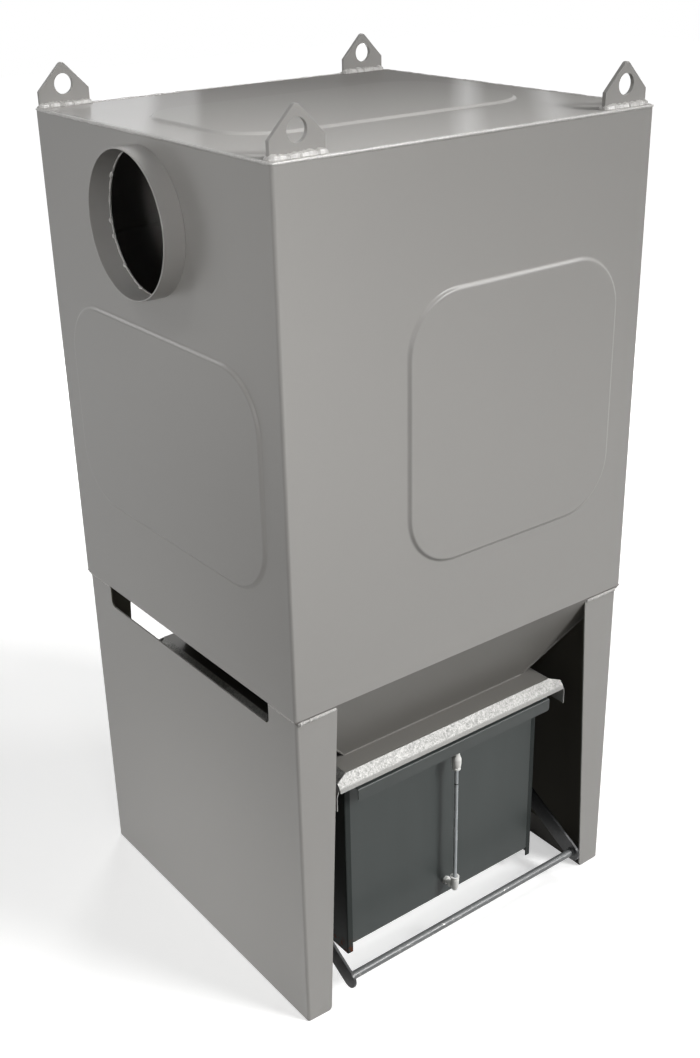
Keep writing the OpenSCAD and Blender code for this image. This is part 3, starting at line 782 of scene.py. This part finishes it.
for panel_name, quarter in (("right_stand_panel", 0), ("left_stand_panel", 180)):
    bm = fold([(stand_x - flange_top, -stand_y), (stand_x, -stand_y), (stand_x, stand_y),
               (stand_x - flange_top, stand_y)], web_top, corner_bend, 0.0, (0.0, 0.0, 0.0))
    set_in_place(bm, turn(-90, "X"), shift(0.0, 0.0, web_top / 2))
    trim(bm, inner_edge, (-hopper_top, 0.0, flange_foot - flange_top))
    for point, across in (((0.0, -slot_half, 0.0), (0.0, 1.0, 0.0)),
                          ((0.0, slot_half, 0.0), (0.0, 1.0, 0.0)),
                          ((0.0, 0.0, slot_foot), (0.0, 0.0, 1.0)),
                          ((0.0, 0.0, flange_end), (0.0, 0.0, 1.0))):
        bmesh.ops.bisect_plane(bm, geom=bm.verts[:] + bm.edges[:] + bm.faces[:], plane_co=point,
                               plane_no=across)
    gone = []
    for face in bm.faces:
        middle = face.calc_center_median()
        in_slot = abs(middle.y) < slot_half and middle.z > slot_foot
        if in_slot or abs(face.normal.y) > 0.5 and middle.z > flange_end:
            gone.append(face)
    bmesh.ops.delete(bm, geom=gone, context="FACES")
    bmesh.ops.dissolve_limit(bm, angle_limit=math.radians(1), verts=bm.verts, edges=bm.edges)
    slot_corners = [vert for vert in bm.verts if abs(abs(vert.co.y) - slot_half) < nearly
                    and abs(vert.co.z - slot_foot) < nearly]
    round_off(bm, slot_corners, slot_r, cut_steps, "VERTICES")
    foot_corners = [vert for vert in bm.verts
                    if vert.co.x < inner_edge.x + 10 * nearly and vert.co.z < nearly]
    round_off(bm, foot_corners, foot_r, cut_steps, "VERTICES")
    face_away(bm, (0.0, 0.0, 0.3))
    bmesh.ops.solidify(bm, geom=bm.faces, thickness=body_sheet)
    bmesh.ops.recalc_face_normals(bm, faces=bm.faces)
    lower = []
    for edge in bm.edges:
        if max(vert.co.z for vert in edge.verts) < same_place:
            outward = edge.verts[0].co - inner_edge
            sides = [face for face in edge.link_faces if abs(face.normal.z) < 0.5]
            if any(face.normal.dot(outward) > 0 for face in sides):
                lower.append(edge)
    round_off(bm, lower, foot_bend, foot_bend_steps)
    bmesh.ops.dissolve_degenerate(bm, dist=nearly, edges=bm.edges)
    foot = cut_plate(oblong(foot_w, 2 * stand_y - body_sheet, stand_x - flange_foot / 2), 0.0, [], [],
                     foot_sheet, sheet_ease)
    set_in_place(foot, shift(0.0, 0.0, body_sheet))
    bm = joined([bm, foot])
    bm.normal_update()
    # Faces that look inwards take the coat painted darker, as painted shade.
    for face in bm.faces:
        outward = face.calc_center_median() - inner_edge
        face.material_index = int(face.normal.dot(Vector((outward.x, outward.y, 0.0))) < 0)
    set_in_place(bm, turn(quarter, "Z"))
    panel = make_piece(bm, "folded_" + panel_name, grey_coat, "body_paint", "frame", panel_name)
    panel.data.materials.append(inside_shade_coat)

stand_bead = 0.0046
side_bead = 0.7 * stand_bead
front_z = hopper_top - 0.0085
side_z = hopper_top - 0.004
bead_x = stand_x - 0.003
bead_y = stand_y - 0.003
bead_x_end = stand_x - flange_top + 0.004
bead_y_end = slot_half + 0.002
runs = []
for side in (-1, 1):
    for end in (-1, 1):
        runs.append(weld_run((side * bead_x, end * stand_y, front_z),
                             (side * bead_x_end, end * stand_y, front_z),
                             stand_bead, bead_pitch, bead_wave))
        runs.append(weld_run((side * stand_x, end * bead_y, side_z),
                             (side * stand_x, end * bead_y_end, side_z),
                             side_bead, bead_pitch, bead_wave))
make_piece(joined(runs), "stand_welds", weld_highlight_grey, "body_paint", "frame")


# The dust bin: a box of 2 mm sheet whose sides return round the corners and run on down as
# runners. Satin dark grey with a film of dust, and rust that starts at its lower left corners; its
# sides are painted darker, with less sheen, as painted shade.
rust_z = (0.075, 0.050)
rust_x = (-0.225, -0.240)


def bin_coat(name, dark, light, specular):
    """Dark powder coat with a dust film, and rust in patches at the lower left corners."""
    finish, wire = new_finish(name)
    place = wire.add("ShaderNodeTexCoord", {}, {}, "Object")
    axes = wire.add("ShaderNodeSeparateXYZ", {}, {"Vector": place}, "X")
    streaks = wire.add("ShaderNodeMapping", {}, {"Vector": place, "Scale": (1.0, 1.0, 0.12)})
    film = wire.add("ShaderNodeTexNoise", {}, {"Vector": streaks, "Scale": 16.0, "Detail": 4.0})
    speck = wire.add("ShaderNodeTexNoise", {}, {"Vector": place, "Scale": 130.0, "Detail": 5.0})
    grain = wire.add("ShaderNodeTexNoise", {}, {
        "Vector": place, "Scale": peel_scale, "Detail": 2.0})
    tone = wire.add("ShaderNodeMix", {"data_type": "RGBA"}, {0: film, 6: dark, 7: light}, 2)
    low = wire.add("ShaderNodeMapRange", {}, {
        "Value": axes.other("Z"), "From Min": rust_z[0], "From Max": rust_z[1]})
    corner = wire.add("ShaderNodeMapRange", {}, {
        "Value": axes, "From Min": rust_x[0], "From Max": rust_x[1]})
    spots = wire.add("ShaderNodeMapRange", {}, {"Value": speck, "From Min": 0.50, "From Max": 0.62})
    rust = low * corner * spots
    tone = wire.add("ShaderNodeMix", {"data_type": "RGBA"},
                    {0: rust, 6: tone, 7: tint(96, 48, 24)}, 2)
    skin = wire.add("ShaderNodeBump", {}, {
        "Strength": 0.12, "Distance": peel_depth, "Height": grain + 2.0 * rust})
    gloss = 0.34 + 0.10 * film + 0.4 * rust
    coat = wire.add("ShaderNodeBsdfPrincipled", {}, {
        "Base Color": tone, "Roughness": gloss, "Specular IOR Level": specular, "Normal": skin})
    wire.add("ShaderNodeOutputMaterial", {}, {"Surface": coat})
    return finish


dark_coat = bin_coat("dark_powder_coat", tint(52, 57, 56), tint(64, 69, 68), 0.35)
# The sides' coat is painted darker, with less sheen, as painted shade.
flank_shade_coat = bin_coat("flank_coat_painted_shade", tint(44, 48, 47), tint(56, 60, 59), 0.08)
bin_sheet = 0.002
bin_bend = 0.003
bin_ease = 0.0005
plate_low, plate_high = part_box("bin_front")
flank_low, flank_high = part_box("bin_left")
plate_h = plate_high.z - plate_low.z
notch_r = 0.004
for plate_name, quarter in (("bin_front", 0), ("bin_back", 180)):
    bm = cut_plate(oblong(plate_high.x - plate_low.x, plate_h, 0.0, plate_h / 2), notch_r, [0, 1], [],
                   bin_sheet, bin_ease)
    set_in_place(bm, turn(90, "X"), shift(0.0, plate_low.y, plate_low.z), turn(quarter, "Z"))
    make_piece(bm, "plate_" + plate_name, dark_coat, "bin_paint", "bin", plate_name)

flank_h = flank_high.z - flank_low.z
flank_mid = (flank_high.z + flank_low.z) / 2
for flank_name, quarter in (("bin_left", 0), ("bin_right", 180)):
    bm = fold([(flank_high.x, flank_low.y), (flank_low.x, flank_low.y), (flank_low.x, flank_high.y),
               (flank_high.x, flank_high.y)], flank_h, bin_bend, bin_sheet, (0.0, 0.0, 0.0))
    set_in_place(bm, turn(-90, "X"), shift(0.0, 0.0, flank_mid), turn(quarter, "Z"))
    make_piece(bm, "folded_" + flank_name, flank_shade_coat, "bin_paint", "bin", flank_name)
dress(dark_coat, "bin_floor")


# The bin's rims: 2 mm sheet folded to a shelf that meets the seal and a lip that hangs from it,
# painted a little lighter than the walls as light caught on the lip. The front and back lips have
# round lower corners.
rim_low, rim_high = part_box("bin_rim_front")
side_rim_low, side_rim_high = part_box("bin_rim_left")
rim_corner_r = 0.006
rim_corner_steps = 5
# Painted light: the rims' coat is a lighter copy of the walls' coat.
rim_lit_coat = bin_coat("rim_coat_painted_light", tint(56, 60, 59), tint(69, 73, 72), 0.35)
for rim_name, quarter in (("bin_rim_front", 0), ("bin_rim_back", 180)):
    bm = fold([(rim_high.y, rim_high.z), (rim_low.y, rim_high.z), (rim_low.y, rim_low.z)],
              rim_high.x - rim_low.x, bin_bend, 0.0, (0.0, 0.0, 0.0))
    hanging = [vert for vert in bm.verts if vert.co.z < rim_low.z + nearly]
    round_off(bm, hanging, rim_corner_r, rim_corner_steps, "VERTICES")
    face_away(bm, (0.0, 0.0, 0.0))
    bmesh.ops.solidify(bm, geom=bm.faces, thickness=bin_sheet)
    set_in_place(bm, turn(90, "Z"), turn(quarter, "Z"))
    make_piece(bm, "folded_" + rim_name, rim_lit_coat, "bin_paint", "bin", rim_name)
for rim_name, quarter in (("bin_rim_left", 0), ("bin_rim_right", 180)):
    bm = fold([(side_rim_high.x, side_rim_high.z), (side_rim_low.x, side_rim_high.z),
               (side_rim_low.x, side_rim_low.z)], side_rim_high.y - side_rim_low.y, bin_bend,
              bin_sheet, (0.0, 0.0, 0.0))
    set_in_place(bm, turn(quarter, "Z"))
    make_piece(bm, "folded_" + rim_name, rim_lit_coat, "bin_paint", "bin", rim_name)


# Lifting rails: angles of 3 mm sheet welded to the bin's sides, whose flat legs rest on the lever's
# studs. They have the bin's dark coat.
rail_low, rail_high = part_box("bin_rail_left")
rail_sheet = 0.003
for rail_name, quarter in (("bin_rail_left", 0), ("bin_rail_right", 180)):
    bm = fold([(rail_low.x, rail_low.z), (rail_high.x, rail_low.z), (rail_high.x, rail_high.z)],
              rail_high.y - rail_low.y, bin_bend, rail_sheet, (rail_low.x, 0.0, rail_high.z))
    set_in_place(bm, turn(quarter, "Z"))
    make_piece(bm, "folded_" + rail_name, dark_coat, "bin_paint", "bin", rail_name)


# The vent line on the bin's front: white plastic push-in fittings, a union that hangs from the rim
# and an elbow screwed into the wall, with a short stiff tube between them.
fitting_white, wire = new_finish("white_fitting_plastic")
place = wire.add("ShaderNodeTexCoord", {}, {}, "Object")
smear = wire.add("ShaderNodeTexNoise", {}, {"Vector": place, "Scale": 120.0, "Detail": 4.0})
tone = wire.add("ShaderNodeMix", {"data_type": "RGBA"},
                {0: smear, 6: tint(226, 225, 221), 7: tint(248, 248, 245)}, 2)
skin = wire.add("ShaderNodeBump", {}, {"Strength": 0.05, "Distance": 0.0003, "Height": smear})
plastic = wire.add("ShaderNodeBsdfPrincipled", {}, {
    "Base Color": tone, "Roughness": 0.25 + 0.15 * smear, "Normal": skin})
wire.add("ShaderNodeOutputMaterial", {}, {"Surface": plastic})

union_low, union_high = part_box("vent_union")
elbow_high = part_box("vent_elbow")[1]
vent_x = (union_low.x + union_high.x) / 2
vent_y = (union_low.y + union_high.y) / 2
collar_r = union_high.x - vent_x
tube_r = 0.004
nut_r = collar_r - 0.0008
nut_l = 0.014
neck_r = 0.0060
groove_r = 0.0068
button_r = 0.0082
fitting_ease = 0.0006
fitting_steps = 40
union_top = union_high.z
union_foot = union_low.z

at_vent = shift(vent_x, vent_y, 0.0)
bm = turned([
    (0.0, union_top), (neck_r, union_top), (neck_r, union_foot + 0.036),
    (groove_r, union_foot + 0.032), (collar_r, union_foot + 0.024), (collar_r, union_foot + 0.014),
    (collar_r - 0.0010, union_foot + 0.0065), (groove_r, union_foot + 0.0058),
    (groove_r, union_foot + 0.0042), (button_r, union_foot + 0.0038), (button_r, union_foot),
    (0.0, union_foot)], fitting_ease, at_vent, fitting_steps)
bmesh.ops.create_cone(bm, cap_ends=True, segments=6, radius1=nut_r, radius2=nut_r, depth=nut_l,
                      matrix=shift(vent_x, vent_y, union_top - nut_l / 2))
make_piece(bm, "turned_vent_union", fitting_white, "fitting_white", "bin", "vent_union")

elbow_top = elbow_high.z
port_z = elbow_top - 0.026
mouth_r = tube_r + 0.0012
seat_r = tube_r - 0.0005
rib_r = 0.0080
heel_r = 0.0072
toe_r = 0.0056
collar = turned([
    (mouth_r, elbow_top - 0.003), (mouth_r, elbow_top), (collar_r, elbow_top),
    (collar_r, elbow_top - 0.0032), (rib_r, elbow_top - 0.0042), (rib_r, elbow_top - 0.0062),
    (collar_r - 0.0008, elbow_top - 0.0070), (collar_r - 0.0012, elbow_top - 0.020),
    (heel_r, port_z - 0.002), (toe_r, port_z - 0.0072), (seat_r, port_z - 0.0074),
    (seat_r, elbow_top - 0.012)], fitting_ease, at_vent, fitting_steps)
along_y = shift(vent_x, vent_y, port_z) @ turn(-90, "X")
stub_r = 0.0062
stub_l = elbow_high.y - vent_y
stub_ease = 0.0004
stub = turned([(0.0, 0.0), (stub_r, 0.0), (stub_r, 0.010), (rib_r, 0.0106), (rib_r, 0.0136),
               (stub_r, 0.0142), (stub_r, stub_l), (0.0, stub_l)], stub_ease, along_y, fitting_steps)
bm = joined([collar, stub])
wall_nut_l = 0.007
bmesh.ops.create_cone(bm, cap_ends=True, segments=6, radius1=nut_r, radius2=nut_r, depth=wall_nut_l,
                      matrix=along_y @ shift(0.0, 0.0, stub_l - wall_nut_l / 2))
make_piece(bm, "turned_vent_elbow", fitting_white, "fitting_white", "bin", "vent_elbow")

tube_plastic, wire = new_finish("grey_tube_plastic")
place = wire.add("ShaderNodeTexCoord", {}, {}, "Object")
height = wire.add("ShaderNodeSeparateXYZ", {}, {"Vector": place}, "Z")
mark_z = 0.350
mark_half = 0.0011
mark = wire.add("ShaderNodeMath", {"operation": "COMPARE"}, {0: height, 1: mark_z, 2: mark_half})
haze = wire.add("ShaderNodeTexNoise", {}, {"Vector": place, "Scale": 40.0, "Detail": 3.0})
tone = wire.add("ShaderNodeMix", {"data_type": "RGBA"},
                {0: haze, 6: tint(158, 163, 166), 7: tint(190, 194, 196)}, 2)
tone = wire.add("ShaderNodeMix", {"data_type": "RGBA"}, {0: mark, 6: tone, 7: tint(38, 38, 40)}, 2)
clear = wire.add("ShaderNodeBsdfPrincipled", {}, {
    "Base Color": tone, "Roughness": 0.22 + 0.1 * haze, "Subsurface Weight": 0.15,
    "Subsurface Radius": (0.004, 0.004, 0.004)})
wire.add("ShaderNodeOutputMaterial", {}, {"Surface": clear})

bore_r = tube_r - 0.001
tube_foot = elbow_top - 0.002
tube_steps = 24
bm = turned([(bore_r, tube_foot), (tube_r, tube_foot), (tube_r, union_foot), (bore_r, union_foot)],
            0.0, at_vent, tube_steps)
make_piece(bm, "drawn_vent_tube", tube_plastic, "vent_tube", "bin", "vent_tube")


# The lifting lever: two flat bars with round ends, joined by a round handle bar that is welded
# between them. The arms keep their black coat; the bar's is worn grey, with spots of bare steel.
def lever_coat(name, dark, light, worn):
    """A coat with small rubbed spots, whose share grows with wear."""
    finish, wire = new_finish(name)
    place = wire.add("ShaderNodeTexCoord", {}, {}, "Object")
    clouds = wire.add("ShaderNodeTexNoise", {}, {"Vector": place, "Scale": 25.0, "Detail": 4.0})
    speck = wire.add("ShaderNodeTexNoise", {}, {"Vector": place, "Scale": 140.0, "Detail": 6.0})
    rubbed = wire.add("ShaderNodeMapRange", {}, {"Value": speck, "From Min": 0.60, "From Max": 0.70})
    bare = worn * rubbed
    tone = wire.add("ShaderNodeMix", {"data_type": "RGBA"}, {0: clouds, 6: dark, 7: light}, 2)
    tone = wire.add("ShaderNodeMix", {"data_type": "RGBA"},
                    {0: bare, 6: tone, 7: tint(168, 167, 164)}, 2)
    skin = wire.add("ShaderNodeBump", {}, {
        "Strength": 0.15, "Distance": peel_depth, "Height": speck})
    coat = wire.add("ShaderNodeBsdfPrincipled", {}, {
        "Base Color": tone, "Metallic": bare, "Roughness": 0.30 + 0.1 * clouds, "Normal": skin})
    wire.add("ShaderNodeOutputMaterial", {}, {"Surface": coat})
    return finish


lever_black = lever_coat("black_lever_coat", tint(20, 21, 23), tint(33, 34, 36), 0.1)
rubbed_grey = lever_coat("rubbed_bar_coat", tint(84, 86, 87), tint(116, 118, 118), 0.7)
pivot_z = 0.275
bar_low, bar_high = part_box("handle_bar")
bar_y = (bar_low.y + bar_high.y) / 2
bar_z = (bar_low.z + bar_high.z) / 2
bar_r = (bar_high.z - bar_low.z) / 2
lever_reach = math.hypot(bar_y, pivot_z - bar_z)
lever_slope = math.degrees(math.atan2(pivot_z - bar_z, -bar_y))
stud_reach = 0.040
arm_half = 0.020
arm_round = arm_half * 0.995
journal_r = 0.00805
arm_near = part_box("lever_arm_right")[0].x
arm_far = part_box("lever_arm_right")[1].x
arm_spare = 0.0002
arm_l = lever_reach + stud_reach + 2 * arm_half - arm_spare
arm_mid = (stud_reach - lever_reach) / 2
edge_on = turn(90, "Z") @ turn(90, "X")
for arm_name, outer_x in (("lever_arm_right", arm_far), ("lever_arm_left", -arm_near)):
    bm = cut_plate(oblong(arm_l, 2 * arm_half, arm_mid), arm_round, [0, 1, 2, 3],
                   [(journal_r, 0.0, 0.0)], arm_far - arm_near, sheet_ease)
    set_in_place(bm, edge_on, turn(lever_slope, "X"), shift(outer_x, 0.0, pivot_z))
    make_piece(bm, "cut_" + arm_name, lever_black, "lever_black", "lever", arm_name)

across = turn(90, "Y")
bar_half = bar_high.x
bar_ease = 0.0005
bar_steps = 40
bm = turned([(0.0, -bar_half), (bar_r, -bar_half), (bar_r, bar_half), (0.0, bar_half)], bar_ease,
            shift(0.0, bar_y, bar_z) @ across, bar_steps)
make_piece(bm, "round_handle_bar", rubbed_grey, "lever_black", "lever", "handle_bar")
bar_bead = 0.0024
bar_bead_r = bar_r + 0.0005
bar_bead_steps = 36
runs = [weld_ring(bar_bead_r, bar_bead, bead_wave, shift(side * arm_near, bar_y, bar_z) @ across,
                  bar_bead_steps) for side in (-1, 1)]
make_piece(joined(runs), "bar_welds", lever_black, "lever_black", "lever")


# Studs and pivots: turned steel. The studs lift the bin's rails, and each pivot is a boss welded
# inside the stand with a journal and a head that keep the arm on.
bright_steel, wire = new_finish("turned_steel")
place = wire.add("ShaderNodeTexCoord", {}, {}, "Object")
rings = wire.add("ShaderNodeMapping", {}, {"Vector": place, "Scale": (30.0, 1.0, 1.0)})
turning = wire.add("ShaderNodeTexNoise", {}, {"Vector": rings, "Scale": 60.0, "Detail": 3.0})
tone = wire.add("ShaderNodeMix", {"data_type": "RGBA"},
                {0: turning, 6: tint(140, 141, 143), 7: tint(186, 187, 189)}, 2)
steel = wire.add("ShaderNodeBsdfPrincipled", {}, {
    "Base Color": tone, "Metallic": 0.9, "Roughness": 0.28 + 0.15 * turning})
wire.add("ShaderNodeOutputMaterial", {}, {"Surface": steel})

stud_low, stud_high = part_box("lift_stud_right")
stud_r = (stud_high.z - stud_low.z) / 2
stud_y = (stud_high.y + stud_low.y) / 2
stud_z = (stud_high.z + stud_low.z) / 2
boss_low, boss_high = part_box("pivot_right")
boss_r = boss_high.y
head_r = 0.013
head_end = boss_low.x + 0.005
boss_end = arm_far + 0.0003
pin_r = 0.008
stud_ease = 0.0018
pivot_ease = 0.0001
steel_steps = 48
for hand, side in (("left", -1), ("right", 1)):
    bm = turned([(0.0, stud_low.x), (stud_r, stud_low.x), (stud_r, stud_high.x), (0.0, stud_high.x)],
                stud_ease, shift(0.0, stud_y, stud_z) @ turn(90 * side, "Y"), steel_steps)
    make_piece(bm, "turned_stud_" + hand, bright_steel, "bright_steel", "lever", "lift_stud_" + hand)
    bm = turned([(0.0, boss_low.x), (head_r, boss_low.x), (head_r, head_end), (pin_r, head_end),
                 (pin_r, boss_end), (boss_r, boss_end), (boss_r, boss_high.x), (0.0, boss_high.x)],
                pivot_ease, shift(0.0, 0.0, pivot_z) @ turn(90 * side, "Y"), steel_steps)
    make_piece(bm, "turned_pivot_" + hand, bright_steel, "bright_steel", "frame", "pivot_" + hand)
